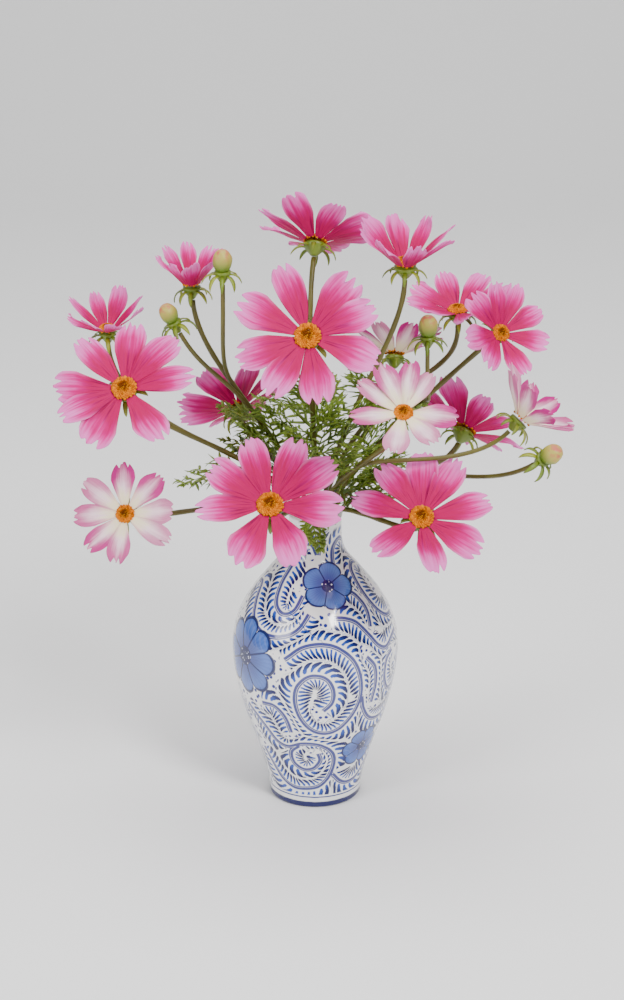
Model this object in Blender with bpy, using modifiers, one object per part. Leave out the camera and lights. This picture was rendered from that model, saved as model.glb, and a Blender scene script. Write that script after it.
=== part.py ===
"""Cosmos flowers in a glazed vase: an open-mouthed vase that holds branching stems with blooms, buds and leaves.

Row frame: +Z up, origin at the centre of the vase's foot, -Y towards the front of the arrangement.
Sizes are in millimetres and are turned into metres by MM where objects are made.
"""

import math

import bmesh
import bpy
from mathutils import Matrix, Vector

MM = 0.001

# Driving dimensions of the vase.
VASE_HEIGHT = 164.0
VASE_WALL = 3.0
VASE_FLOOR = 6.0
VASE_FLOOR_RADIUS = 19.5
VASE_STEPS = 32
FOOT_RADIUS = 25.0
LIP_RADIUS = 14.6
LIP_ROUND = 1.2
# Height and outer radius along the wall, from the lip down to the foot.
VASE_OUTLINE = (
    (160.0, 14.1),
    (149.0, 14.5),
    (141.0, 17.2),
    (131.0, 25.4),
    (118.0, 35.3),
    (106.0, 41.8),
    (94.0, 44.8),
    (82.0, 44.9),
    (68.0, 43.0),
    (50.0, 38.4),
    (32.0, 32.2),
    (14.0, 26.9),
    (4.0, 25.2),
)

# Driving dimensions of a bloom, as shares of its radius or in millimetres.
PETALS = 8
PETAL_THICKNESS = 0.6
PETAL_ROWS = 3
PETAL_HALF_WIDTH = 0.27
PETAL_MOST_SPREAD = 0.39
DISC_SHARE = 0.185
DISC_HEIGHT_SHARE = 0.62
HUB_MARGIN = 0.5
SEAT_GAP = 0.3
CALYX_DEPTH = 8.0
BRACT_LENGTH = 6.5
BRACT_DROOP = 4.0
BRACT_TAPER = 0.45
BUD_STRETCH = 1.12

STEM_RADIUS = 1.35
BRANCH_RADIUS = 1.15
NECK_BOTTOM_Z = 146.0
MOUTH_Z = 166.0
STEM_FOOT_Z = 6.4
BUNDLE_SPREAD = 1.6
BUNDLE_LEAN = -3.0
STEM_SPANS = 9
BRANCH_SPANS = 8

# Each bloom: centre of the disc, facing (turn from the front towards +X, tilt above the horizon), radius, the
# angles that its petals make with the disc's plane where they leave it and at their tips, and its first petal's turn.
BLOOMS = {
    "front_high": ((-4, -50, 276), (-3, 38), 41, (12, 2), 18),
    "left": ((-97, -45, 247), (-4, 44), 39, (12, 0), 0),
    "front_low": ((-23, -72, 194), (0, 48), 41, (12, 4), -16),
    "right_low": ((54, -60, 183), (4, 46), 38, (16, 6), 8),
    "right_high": ((96, -6, 265), (26, 34), 29, (26, 10), -8),
    "top": ((0, 32, 304), (170, 52), 37, (24, 16), 20),
    "top_right": ((46, -10, 303), (4, 82), 35, (44, 50), 10),
    "left_high": ((-64, -5, 291), (-30, 84), 28, (54, 50), 0),
    "far_left": ((-110, 15, 261), (-12, 78), 27, (34, 46), 22),
    "back_right": ((76, 34, 266), (-14, 80), 32, (20, 30), 12),
    "back_pale": ((43, 40, 240), (172, 58), 31, (32, 24), 20),
    "middle_pale": ((43, -85, 247), (4, 52), 29, (18, 6), -8),
    "left_low_pale": ((-97, -60, 185), (-6, 28), 29, (10, 0), 0),
    "right_back": ((81, 30, 200), (146, 40), 37, (26, 18), 14),
    "far_right_pale": ((105, -42, 230), (96, 46), 31, (44, 38), 16),
    "left_back": ((-42, 35, 211), (205, 42), 37, (22, 16), 20),
}

# Each bud: centre of its base, facing, and radius.
BUDS = {
    "left_high": ((-47, -28, 304), (0, 84), 5.4),
    "left": ((-73, -19, 275), (-70, 62), 5.0),
    "middle": ((58, -15, 266), (0, 86), 5.4),
    "right": ((115, -66, 217), (50, 36), 5.4),
}

# Each stem: the head that it ends in, its place in the neck, how far it runs on upwards from the mouth before it
# bends, how long it follows its head's axis, and its side branches. A branch: where along the stem it leaves, its
# head, how far it runs along the stem's own line, and how long it follows its head's axis.
STEMS = {
    "front_high": ("bloom", (0.4, -2.6), 60, 34, ()),
    "left": ("bloom", (-7.0, -2.4), 40, 30, ((0.50, "bloom", "far_left", 26, 30),)),
    "front_low": ("bloom", (-1.6, -9.0), 22, 18, ()),
    "right_low": ("bloom", (5.6, -7.6), 20, 22, ()),
    "right_high": ("bloom", (6.6, -3.4), 34, 18, ((0.52, "bud", "middle", 14, 40),)),
    "top": ("bloom", (-0.6, 1.4), 60, 40, ()),
    "top_right": ("bloom", (3.6, 0.6), 60, 34, ()),
    "left_high": (
        "bloom",
        (-4.2, 0.8),
        46,
        36,
        ((0.42, "bud", "left", 30, 26), (0.58, "bud", "left_high", 14, 36)),
    ),
    "back_right": ("bloom", (7.4, 4.2), 84, 36, ()),
    "back_pale": ("bloom", (4.6, 6.6), 44, 24, ()),
    "middle_pale": ("bloom", (3.0, -6.0), 34, 26, ((0.44, "bloom", "far_right_pale", 26, 30),)),
    "left_low_pale": ("bloom", (-6.4, -6.6), 24, 30, ()),
    "right_back": ("bloom", (9.3, -0.6), 30, 26, ((0.40, "bud", "right", 30, 36),)),
    "left_back": ("bloom", (-7.6, 2.6), 36, 22, ()),
}

# Each leaf: the stem that carries it, where along the free stem, its turn and tilt, and its length.
LEAVES = {
    "centre_left": ("left_high", 0.20, (-60, 48), 40),
    "far_left": ("left", 0.30, (-80, -6), 38),
    "left_back": ("left_back", 0.34, (-120, 20), 34),
    "centre_back": ("top", 0.22, (170, 50), 40),
    "centre": ("top_right", 0.20, (70, 66), 42),
    "right_inner": ("right_high", 0.26, (60, 70), 38),
    "right": ("right_back", 0.26, (120, 8), 36),
    "right_front": ("middle_pale", 0.18, (60, 14), 36),
    "hanging": ("front_low", 0.10, (30, -50), 22),
}
LEAF_THICKNESS = 0.7
LEAF_GAP = 0.6
LEAF_PAIRS = 4

COLOURS = {
    "glazed_ceramic": ((0.78, 0.81, 0.88), 0.12),
    "pink_petal": ((0.91, 0.33, 0.59), 0.62),
    "pale_petal": ((0.93, 0.72, 0.80), 0.62),
    "disc_orange": ((0.87, 0.45, 0.04), 0.8),
    "stem_green": ((0.25, 0.23, 0.06), 0.6),
    "leaf_green": ((0.24, 0.33, 0.08), 0.65),
    "bud_cream": ((0.84, 0.70, 0.48), 0.6),
}


def clear_scene():
    for obj in list(bpy.data.objects):
        bpy.data.objects.remove(obj)


def material(name):
    """The named finish, made once."""
    made = bpy.data.materials.get(name)
    if made:
        return made
    colour, roughness = COLOURS[name]
    made = bpy.data.materials.new(name)
    made.use_nodes = True
    shader = made.node_tree.nodes["Principled BSDF"]
    shader.inputs["Base Color"].default_value = (*colour, 1.0)
    shader.inputs["Roughness"].default_value = roughness
    return made


def add_object(name, mesh, finish, collection):
    mesh.shade_smooth()
    mesh.set_sharp_from_angle(angle=math.radians(40))
    obj = bpy.data.objects.new(name, mesh)
    collection.objects.link(obj)
    if finish:
        obj.data.materials.append(material(finish))
    return obj


def facing(turn, tilt):
    """The direction that a head faces."""
    a, t = math.radians(turn), math.radians(tilt)
    return Vector((math.sin(a) * math.cos(t), -math.cos(a) * math.cos(t), math.sin(t)))


def head_matrix(place, direction):
    """The head's own frame: Z along its axis, X the row's X laid into the disc's plane. Millimetres to metres."""
    across = (Vector((1, 0, 0)) - direction.x * direction).normalized()
    turn = Matrix((across, direction.cross(across), direction)).transposed().to_4x4()
    return Matrix.Translation(Vector(place) * MM) @ turn @ Matrix.Scale(MM, 4)


def bezier(a, b, c, d, t):
    s = 1 - t
    return s**3 * a + 3 * s * s * t * b + 3 * s * t * t * c + t**3 * d


def bezier_slope(a, b, c, d, t):
    s = 1 - t
    return (3 * s * s * (b - a) + 6 * s * t * (c - b) + 3 * t * t * (d - c)).normalized()


# Vase: one thrown and glazed shell with a flat foot, turned from its profile.
def vase_profile():
    """Radius and height from the middle of the floor inside, over the lip, to the middle of the foot."""
    outer = [Vector((r, z)) for z, r in VASE_OUTLINE]
    inner = [Vector((r - VASE_WALL, z)) for z, r in VASE_OUTLINE if z > 2 * VASE_FLOOR]
    floor = [Vector((0, VASE_FLOOR)), Vector((VASE_FLOOR_RADIUS, VASE_FLOOR))]
    lip_side = VASE_HEIGHT - LIP_ROUND
    lip = [
        Vector((LIP_RADIUS - VASE_WALL, lip_side)),
        Vector((LIP_RADIUS - 0.65 * VASE_WALL, VASE_HEIGHT)),
        Vector((LIP_RADIUS - 0.25 * VASE_WALL, VASE_HEIGHT)),
        Vector((LIP_RADIUS, lip_side)),
    ]
    foot = [Vector((FOOT_RADIUS, 1.0)), Vector((FOOT_RADIUS - 0.9, 0)), Vector((0, 0))]
    return floor + inner[::-1] + lip + outer + foot


def make_vase(collection):
    points = [(p.x * MM, 0, p.y * MM) for p in vase_profile()]
    mesh = bpy.data.meshes.new("vase")
    mesh.from_pydata(points, [(i, i + 1) for i in range(len(points) - 1)], [])
    obj = add_object("vase", mesh, "glazed_ceramic", collection)
    screw = obj.modifiers.new("turned", "SCREW")
    screw.axis = "Z"
    screw.steps = screw.render_steps = VASE_STEPS
    screw.use_merge_vertices = True
    screw.merge_threshold = 0.00005
    return obj


# Blooms: a ring of petals joined at the receptacle, and the button of disc florets on it.
def petal_point(radius, hub, rise, share, side, lift):
    """A point on one petal in the head's frame, before it is turned to its own place.

    Share runs from 0 at the hub to 1 at the tip, and side from -1 to 1 across.
    """
    start, end = (math.radians(a + lift) for a in rise)
    length = (radius - hub) / math.cos((start + end) / 2 * 0.35)
    steps = 12
    x = hub
    z = 0.0
    for i in range(steps):
        angle = start + (end - start) * share * (i + 0.5) / steps
        x += length * share / steps * math.cos(angle)
        z += length * share / steps * math.sin(angle)
    natural = PETAL_HALF_WIDTH * radius * math.sin(math.pi * (0.16 + 0.60 * share)) ** 0.8
    half = min(natural, PETAL_MOST_SPREAD * x)
    return Vector((x, side * half, z + 0.05 * half * side * side))


def star_sheet(name, radius, hub, rise, first):
    """One open sheet: a round hub with all the petals joined to its rim."""
    bm = bmesh.new()
    centre = bm.verts.new((0, 0, 0))
    ring = []
    for k in range(PETALS):
        spin = Matrix.Rotation(math.radians(first) + 2 * math.pi * k / PETALS, 4, "Z")
        lift = 3.0 if k % 2 else 0.0
        rows = []
        for row in range(PETAL_ROWS + 1):
            share = row / PETAL_ROWS
            rows.append(
                [bm.verts.new(spin @ petal_point(radius, hub, rise, share, side, lift)) for side in (-1, 0, 1)]
            )
        for low, high in zip(rows, rows[1:]):
            for i in range(2):
                bm.faces.new((low[i], high[i], high[i + 1], low[i + 1]))
        ring += rows[0]
    for a, b in zip(ring, ring[1:] + ring[:1]):
        bm.faces.new((centre, a, b))
    bmesh.ops.recalc_face_normals(bm, faces=bm.faces)
    if sum(f.normal.z for f in bm.faces) < 0:
        bmesh.ops.reverse_faces(bm, faces=bm.faces)
    mesh = bpy.data.meshes.new(name)
    bm.to_mesh(mesh)
    bm.free()
    return mesh


def make_bloom(name, spec, collection):
    place, aim, radius, rise, first = spec
    finish = "pale_petal" if name.endswith("pale") else "pink_petal"
    disc_radius = DISC_SHARE * radius
    mesh = star_sheet(f"petals_{name}", radius, disc_radius + HUB_MARGIN, rise, first)
    matrix = head_matrix(place, facing(*aim))
    mesh.transform(matrix)
    petals = add_object(f"petals_{name}", mesh, finish, collection)
    solid = petals.modifiers.new("thickness", "SOLIDIFY")
    solid.thickness = PETAL_THICKNESS * MM
    solid.offset = -1

    bm = bmesh.new()
    bmesh.ops.create_uvsphere(bm, u_segments=12, v_segments=6, radius=disc_radius)
    everything = bm.verts[:] + bm.edges[:] + bm.faces[:]
    cut = bmesh.ops.bisect_plane(bm, geom=everything, plane_co=(0, 0, 0.01), plane_no=(0, 0, -1), clear_outer=True)
    rim = [e for e in cut["geom_cut"] if isinstance(e, bmesh.types.BMEdge)]
    bmesh.ops.contextual_create(bm, geom=rim)
    bmesh.ops.scale(bm, vec=(1, 1, DISC_HEIGHT_SHARE), verts=bm.verts)
    bmesh.ops.translate(bm, vec=(0, 0, SEAT_GAP), verts=bm.verts)
    bmesh.ops.recalc_face_normals(bm, faces=bm.faces)
    disc_mesh = bpy.data.meshes.new(f"disc_{name}")
    bm.to_mesh(disc_mesh)
    bm.free()
    disc_mesh.transform(matrix)
    add_object(f"disc_{name}", disc_mesh, "disc_orange", collection)


def make_bud(name, spec, collection):
    """A closed bud: the packed petals as one egg-shaped body on its calyx."""
    place, aim, radius = spec
    bm = bmesh.new()
    bmesh.ops.create_uvsphere(bm, u_segments=12, v_segments=7, radius=radius)
    bmesh.ops.scale(bm, vec=(1, 1, BUD_STRETCH), verts=bm.verts)
    bmesh.ops.translate(bm, vec=(0, 0, radius), verts=bm.verts)
    mesh = bpy.data.meshes.new(f"bud_{name}")
    bm.to_mesh(mesh)
    bm.free()
    mesh.transform(head_matrix(place, facing(*aim)))
    add_object(f"bud_{name}", mesh, "bud_cream", collection)


# Stems: tubes that stand on the vase's floor, pass the neck and end in a calyx with its bracts.
def head_of(kind, name):
    """Place, direction, the calyx's greatest radius and the depth of its top below the place."""
    if kind == "bloom":
        place, aim, radius, _, _ = BLOOMS[name]
        return Vector(place), facing(*aim), 0.92 * (DISC_SHARE * radius + HUB_MARGIN), PETAL_THICKNESS + SEAT_GAP
    place, aim, radius = BUDS[name]
    return Vector(place), facing(*aim), 0.86 * radius, (BUD_STRETCH - 1) * radius + 2 * SEAT_GAP


def calyx_profile(radius, top):
    """Depth below the head's place and radius, from the stem up to the calyx's rim."""
    return (
        (top + CALYX_DEPTH - 1.0, max(0.30 * radius, STEM_RADIUS)),
        (top + 4.8, 0.62 * radius),
        (top + 2.6, 0.92 * radius),
        (top + 1.1, radius),
        (top, 0.86 * radius),
    )


def swept_tube(name, points, radii):
    """A closed mesh along the points, from a curve with a round bevel."""
    curve = bpy.data.curves.new(name, "CURVE")
    curve.dimensions = "3D"
    curve.bevel_depth = MM
    curve.bevel_resolution = 2
    curve.use_fill_caps = True
    spline = curve.splines.new("POLY")
    spline.points.add(len(points) - 1)
    for target, point, radius in zip(spline.points, points, radii):
        target.co = (*(point * MM), 1)
        target.radius = radius
    holder = bpy.data.objects.new(name, curve)
    bpy.context.scene.collection.objects.link(holder)
    bpy.context.view_layer.update()
    graph = bpy.context.evaluated_depsgraph_get()
    mesh = bpy.data.meshes.new_from_object(holder.evaluated_get(graph))
    bpy.data.objects.remove(holder)
    bm = bmesh.new()
    bm.from_mesh(mesh)
    bmesh.ops.remove_doubles(bm, verts=bm.verts, dist=0.00001)
    return bm, mesh


def grow_bracts(bm, matrix, top, length, droop):
    """Eight narrow bracts, drawn out of the calyx's widest ring of faces."""
    into = matrix.inverted()
    ring = []
    for face in bm.faces:
        centre = into @ face.calc_center_median()
        if len(face.verts) == 4 and -top - 2.6 < centre.z < -top - 1.1 and centre.xy.length > 1.5:
            ring.append(face)
    bmesh.ops.inset_individual(bm, faces=ring, thickness=0.0004, use_even_offset=True)
    made = bmesh.ops.extrude_discrete_faces(bm, faces=ring)["faces"]
    for face in made:
        centre = into @ face.calc_center_median()
        outward = Vector((centre.x, centre.y, 0)).normalized()
        for vert in face.verts:
            local = into @ vert.co
            local = centre + (local - centre) * BRACT_TAPER
            local += outward * length + Vector((0, 0, -droop))
            vert.co = matrix @ local


def stem_route(kind, name, start, up, lead, follow, radius, spans):
    """Points and radii up to the calyx's rim, the free stretch's control points, and the rim's depth."""
    place, direction, calyx, top = head_of(kind, name)
    foot = place - direction * (top + CALYX_DEPTH)
    ends = (start, start + up * lead, foot - direction * follow, foot)
    points = [bezier(*ends, i / spans) for i in range(spans + 1)]
    radii = [radius] * len(points)
    for depth, wide in calyx_profile(calyx, top):
        points.append(place - direction * depth)
        radii.append(wide)
    return points, radii, ends, top


def finish_stem(name, points, radii, matrix, top):
    bm, mesh = swept_tube(name, points, radii)
    grow_bracts(bm, matrix, top, BRACT_LENGTH, BRACT_DROOP)
    bmesh.ops.recalc_face_normals(bm, faces=bm.faces)
    bm.to_mesh(mesh)
    bm.free()
    return mesh


def stem_start(slot):
    """A stem's points inside the vase, and the point where it leaves the mouth."""
    neck_low = Vector((*slot, NECK_BOTTOM_Z))
    mouth = Vector((*slot, MOUTH_Z))
    foot = Vector((slot[0] * BUNDLE_SPREAD, slot[1] * BUNDLE_SPREAD + BUNDLE_LEAN, STEM_FOOT_Z))
    return [foot, neck_low], mouth


def mouth_direction(mouth, place):
    """The way a stem leaves the mouth: upwards, leaning out towards its head."""
    away = place - mouth
    return (away.normalized() + Vector((0, 0, 0.75))).normalized()


def make_stem(name, spec, collection, cutters):
    kind, slot, lead, follow, branches = spec
    inside, mouth = stem_start(slot)
    place, direction, _, _ = head_of(kind, name)
    up = mouth_direction(mouth, place)
    points, radii, ends, top = stem_route(kind, name, mouth, up, lead, follow, STEM_RADIUS, STEM_SPANS)
    mesh = finish_stem(
        f"stem_{name}", inside + points, [STEM_RADIUS] * 2 + radii, head_matrix(place, direction), top
    )
    stem = add_object(f"stem_{name}", mesh, "stem_green", collection)
    for share, kind, other, lead, follow in branches:
        start = bezier(*ends, share)
        up = bezier_slope(*ends, share)
        place, direction, _, _ = head_of(kind, other)
        inside = start - up * 2
        points, radii, _, top = stem_route(kind, other, inside, up, lead, follow, BRANCH_RADIUS, BRANCH_SPANS)
        branch_mesh = finish_stem(f"branch_{other}", points, radii, head_matrix(place, direction), top)
        branch = add_object(f"branch_{kind}_{other}", branch_mesh, None, cutters)
        branch.hide_render = True
        branch.display_type = "WIRE"
        join = stem.modifiers.new(f"join_{other}", "BOOLEAN")
        join.operation = "UNION"
        join.object = branch
    return ends


# Leaves: feathery, cut into narrow lobes in pairs along a midrib.
def leaf_sheet(name, length):
    bm = bmesh.new()
    rib = 0.9
    joints = 2 * LEAF_PAIRS + 1
    step = length * 0.78 / joints
    rows = []
    for i in range(joints + 1):
        x = length * 0.04 * (i > 0) + i * step
        half = rib * (1 - 0.35 * i / joints) * (0.5 if i == 0 else 1)
        sag = -0.10 * length * (x / length) ** 2
        rows.append([bm.verts.new((x, -half, sag)), bm.verts.new((x, half, sag))])
    for low, high in zip(rows, rows[1:]):
        bm.faces.new((low[0], high[0], high[1], low[1]))
    for pair in range(LEAF_PAIRS):
        i = 2 * pair + 1
        reach = length * (0.34 - 0.05 * pair)
        for side in (0, 1):
            a, b = rows[i][side], rows[i + 1][side]
            sign = 2 * side - 1
            middle = (a.co + b.co) / 2
            knee = middle + Vector((reach * 0.45, sign * reach * 0.5, 0.02 * length))
            tip = middle + Vector((reach, sign * reach * 0.85, 0.0))
            along = Vector((0.5, -sign * 0.5, 0))
            knee_a, knee_b = bm.verts.new(knee - along * 1.3), bm.verts.new(knee + along * 1.3)
            tip_a, tip_b = bm.verts.new(tip - along * 0.5), bm.verts.new(tip + along * 0.5)
            faces = ((a, knee_a, knee_b, b), (knee_a, tip_a, tip_b, knee_b))
            for face in faces:
                bm.faces.new(face if side == 0 else face[::-1])
    end = rows[-1]
    tip = Vector((length, 0, -0.10 * length))
    tip_a, tip_b = bm.verts.new(tip + Vector((0, -0.3, 0))), bm.verts.new(tip + Vector((0, 0.3, 0)))
    bm.faces.new((end[0], tip_a, tip_b, end[1]))
    bmesh.ops.recalc_face_normals(bm, faces=bm.faces)
    mesh = bpy.data.meshes.new(name)
    bm.to_mesh(mesh)
    bm.free()
    return mesh


def make_leaf(name, spec, routes, collection):
    stem, share, aim, length = spec
    ends = routes[stem]
    direction = facing(*aim)
    along = bezier_slope(*ends, share)
    outward = (direction - along * direction.dot(along)).normalized()
    start = bezier(*ends, share) + outward * (STEM_RADIUS + LEAF_GAP)
    across = direction.cross(Vector((0, 0, 1))).normalized()
    turn = Matrix((direction, across, direction.cross(across))).transposed().to_4x4()
    mesh = leaf_sheet(f"leaf_{name}", length)
    mesh.transform(Matrix.Translation(start * MM) @ turn @ Matrix.Scale(MM, 4))
    leaf = add_object(f"leaf_{name}", mesh, "leaf_green", collection)
    solid = leaf.modifiers.new("thickness", "SOLIDIFY")
    solid.thickness = LEAF_THICKNESS * MM
    solid.offset = 0


def main():
    clear_scene()
    collection = bpy.data.collections.new("cosmos_vase")
    cutters = bpy.data.collections.new("joined_branches")
    bpy.context.scene.collection.children.link(collection)
    bpy.context.scene.collection.children.link(cutters)
    make_vase(collection)
    routes = {name: make_stem(name, spec, collection, cutters) for name, spec in STEMS.items()}
    for name, spec in BLOOMS.items():
        make_bloom(name, spec, collection)
    for name, spec in BUDS.items():
        make_bud(name, spec, collection)
    for name, spec in LEAVES.items():
        make_leaf(name, spec, routes, collection)


main()
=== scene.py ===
"""Cosmos bouquet in a blue and white vase: the finished look of every piece."""

import math

import bpy
import numpy as np
from mathutils import Matrix, Vector


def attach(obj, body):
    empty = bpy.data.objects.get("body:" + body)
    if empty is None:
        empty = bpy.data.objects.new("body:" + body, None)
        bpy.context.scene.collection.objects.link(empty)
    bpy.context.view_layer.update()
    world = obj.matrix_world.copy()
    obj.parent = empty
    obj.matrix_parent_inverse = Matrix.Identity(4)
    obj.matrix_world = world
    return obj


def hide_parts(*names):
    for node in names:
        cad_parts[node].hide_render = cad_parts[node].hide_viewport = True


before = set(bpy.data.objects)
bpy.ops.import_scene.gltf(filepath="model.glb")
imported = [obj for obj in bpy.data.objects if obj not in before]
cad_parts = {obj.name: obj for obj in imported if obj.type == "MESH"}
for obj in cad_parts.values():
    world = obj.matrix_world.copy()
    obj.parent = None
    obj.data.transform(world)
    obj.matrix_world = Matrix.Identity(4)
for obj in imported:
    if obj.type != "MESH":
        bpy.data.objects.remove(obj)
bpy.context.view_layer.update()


# Vase.
# A thrown porcelain vase, 164 mm tall: narrow foot, round belly, slim neck and a small rolled lip.
# The white glaze is thick and glossy. Scrolls, dabs and flowers are brushed under it in cobalt blue.
MM = 0.001


class Signal:
    """A shader value that can be worked with as a number."""

    def __init__(self, tree, socket):
        self.tree = tree
        self.socket = socket

    def node(self, kind, operation=None, *inputs, output=0, **settings):
        made = self.tree.nodes.new(kind)
        if operation:
            made.operation = operation
        for name, value in settings.items():
            setattr(made, name, value)
        for slot, value in enumerate(inputs):
            if isinstance(value, Signal):
                self.tree.links.new(value.socket, made.inputs[slot])
            elif value is not None:
                made.inputs[slot].default_value = value
        return Signal(self.tree, made.outputs[output])

    def math(self, operation, *others):
        return self.node("ShaderNodeMath", operation, self, *others)

    def __add__(self, other):
        return self.math("ADD", other)

    def __sub__(self, other):
        return self.math("SUBTRACT", other)

    def __mul__(self, other):
        return self.math("MULTIPLY", other)

    def __truediv__(self, other):
        return self.math("DIVIDE", other)

    def __rsub__(self, other):
        return self * -1.0 + other

    __radd__ = __add__
    __rmul__ = __mul__

    def step(self, low, high):
        """0 below low, 1 above high, and smooth between; the other way round when high is the lower."""
        smooth = {"interpolation_type": "SMOOTHSTEP"}
        return self.node("ShaderNodeMapRange", None, self, low, high, 0.0, 1.0, **smooth)

    def blend(self, first, second):
        """A mix of two colours, with this value as the share of the second."""
        made = self.tree.nodes.new("ShaderNodeMix")
        made.data_type = "RGBA"
        for name, value in (("A", first), ("B", second)):
            socket = next(s for s in made.inputs if s.name == name and s.type == "RGBA")
            if isinstance(value, Signal):
                self.tree.links.new(value.socket, socket)
            else:
                socket.default_value = (*value, 1.0)
        self.tree.links.new(self.socket, made.inputs[0])
        return Signal(self.tree, next(s for s in made.outputs if s.type == "RGBA"))

    def vector(self, x, y, z):
        return self.node("ShaderNodeCombineXYZ", None, x, y, z)

    def parts(self):
        made = self.node("ShaderNodeSeparateXYZ", None, self)
        return [Signal(self.tree, s) for s in made.socket.node.outputs]

    def noise(self, scale, detail=2.0):
        """Noise of about 0 to 1 at this place."""
        return self.node("ShaderNodeTexNoise", None, self, None, scale, detail)

    def cells(self, scale):
        """Distance to the nearest of many scattered points, as a share of their spacing."""
        return self.node("ShaderNodeTexVoronoi", None, self, None, scale)


def new_material(name, roughness, coat=0.0):
    """A Principled material, its shader node and a signal to start from."""
    made = bpy.data.materials.new(name)
    made.use_nodes = True
    shader = made.node_tree.nodes["Principled BSDF"]
    shader.inputs["Roughness"].default_value = roughness
    shader.inputs["Coat Weight"].default_value = coat
    shader.inputs["Coat Roughness"].default_value = 0.04
    return made, shader, Signal(made.node_tree, None)


def attribute(start, name, output="Vector"):
    made = start.node("ShaderNodeAttribute", None, attribute_name=name)
    return Signal(start.tree, made.socket.node.outputs[output])


def place_coordinate(start, output="Object"):
    made = start.node("ShaderNodeTexCoord")
    return Signal(start.tree, made.socket.node.outputs[output])


def colour_with(shader, colour):
    colour.tree.links.new(colour.socket, shader.inputs["Base Color"])


def set_piece(name, mesh, replaced=()):
    """Puts a finished mesh in the scene as a smooth piece that rides on the part's one body."""
    mesh.shade_smooth()
    obj = bpy.data.objects.new(name, mesh)
    bpy.context.scene.collection.objects.link(obj)
    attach(obj, "root")
    if replaced:
        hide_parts(*replaced)
    return obj


def add_piece(name, points, faces, material, replaced=(), values=None):
    """A piece from points in millimetres and lists of their numbers, with named values on the points."""
    mesh = bpy.data.meshes.new(name)
    mesh.from_pydata((np.asarray(points) * MM).tolist(), [], faces)
    for label, data in (values or {}).items():
        data = np.asarray(data, dtype=np.float32)
        if data.ndim == 2:
            mesh.attributes.new(label, "FLOAT_VECTOR", "POINT").data.foreach_set("vector", data.ravel())
        else:
            mesh.attributes.new(label, "FLOAT", "POINT").data.foreach_set("value", data)
    mesh.materials.append(material)
    return set_piece(name, mesh, replaced)


def grid_faces(rows, columns, closed=False):
    """Quads between the rows of a grid, with its last column joined to its first where it is closed."""
    i, j = np.meshgrid(np.arange(rows - 1), np.arange(columns if closed else columns - 1), indexing="ij")
    k = (j + 1) % columns
    upper, lower = i * columns, (i + 1) * columns
    return np.stack([upper + j, upper + k, lower + k, lower + j], -1).reshape(-1, 4)


def smooth_line(points, step):
    """Catmull-Rom curve through the points, at about equal steps."""
    p = np.asarray(points, dtype=float)
    p = np.vstack([2 * p[0] - p[1], p, 2 * p[-1] - p[-2]])
    t = np.linspace(0, 1, 24, endpoint=False)[:, None]
    made = []
    for a, b, c, d in zip(p, p[1:], p[2:], p[3:]):
        square, cube = 2 * a - 5 * b + 4 * c - d, 3 * b - a - 3 * c + d
        made.append(0.5 * (2 * b + (c - a) * t + square * t**2 + cube * t**3))
    line = np.vstack([*made, p[-2]])
    along = np.r_[0, np.cumsum(np.linalg.norm(np.diff(line, axis=0), axis=1))]
    places = np.linspace(0, along[-1], max(3, int(along[-1] / step)))
    return np.stack([np.interp(places, along, line[:, k]) for k in range(line.shape[1])], 1)


# Height and radius down the outside, from the lip to the foot.
VASE_OUTLINE = (
    (164.0, 13.3), (162.8, 14.6), (160.0, 14.1), (149.0, 14.5), (141.0, 17.2), (131.0, 25.4), (118.0, 35.3),
    (106.0, 41.8), (94.0, 44.8), (82.0, 44.9), (68.0, 43.0), (50.0, 38.4), (32.0, 32.2), (14.0, 26.9),
    (4.0, 25.2), (0.8, 25.0),
)
VASE_ROUND = 350
VASE_STEP = 0.82
WALL = 3.0
VASE_FLOOR = 6.0
# The painted side is repeated on the back.
SIDES = 2
# Brushed stems, as turn in degrees from the front and height in millimetres.
MEAN_RADIUS = 38.0
SCROLLS = (
    ((-22, 96), (-10, 103), (3, 105), (15, 103), (26, 96), (32, 86), (34, 74), (30, 63), (20, 54), (8, 51),
     (-4, 54), (-12, 62), (-15, 72), (-13, 81), (-6, 87), (2, 88), (9, 85), (13, 78), (12, 71), (6, 66)),
    ((35, 72), (38, 64), (45, 57), (55, 54), (66, 55), (76, 62)),
    ((-90, 126), (-76, 126), (-64, 118), (-55, 111), (-42, 107), (-28, 107), (-15, 111), (-6, 119)),
    ((2, 145), (-8, 150), (-22, 150), (-36, 144), (-43, 133), (-40, 123), (-30, 118), (-20, 120), (-14, 127)),
    ((30, 140), (36, 147), (48, 151), (66, 152), (84, 148), (98, 140)),
    ((16, 117), (26, 116), (35, 113), (43, 106), (50, 99), (58, 96), (68, 99), (78, 101)),
    ((88, 136), (72, 137), (60, 134), (57, 126), (62, 116), (72, 110), (84, 109)),
    ((-60, 62), (-50, 56), (-42, 50), (-34, 43), (-24, 41), (-12, 44), (0, 44), (10, 41), (17, 36), (19, 29),
     (15, 20), (5, 14), (-10, 12), (-26, 12), (-40, 16), (-50, 24), (-58, 34)),
    ((-14, 42), (-22, 37), (-21, 30), (-12, 26), (-2, 27), (4, 32), (2, 37)),
    ((19, 22), (30, 16), (42, 14), (56, 16), (68, 24), (80, 32)),
    ((66, 92), (58, 88), (57, 78), (64, 70), (74, 72), (77, 80), (71, 86)),
    ((-66, 44), (-74, 36), (-82, 26), (-92, 22)),
    ((4, 145), (8, 152), (5, 160)),
    ((-42, 67), (-31, 67), (-23, 61), (-19, 51)),
    ((38, 95), (45, 88), (47, 78), (45, 66)),
    ((36, 128), (45, 125), (50, 118), (47, 109)),
    ((-74, 62), (-72, 54), (-64, 50)),
)
# Painted flowers: turn, height, radius, petals.
PAINTED_FLOWERS = ((15, 131, 13.5, 5), (-57, 91, 21.0, 8), (47, 37, 12.5, 6))


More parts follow.
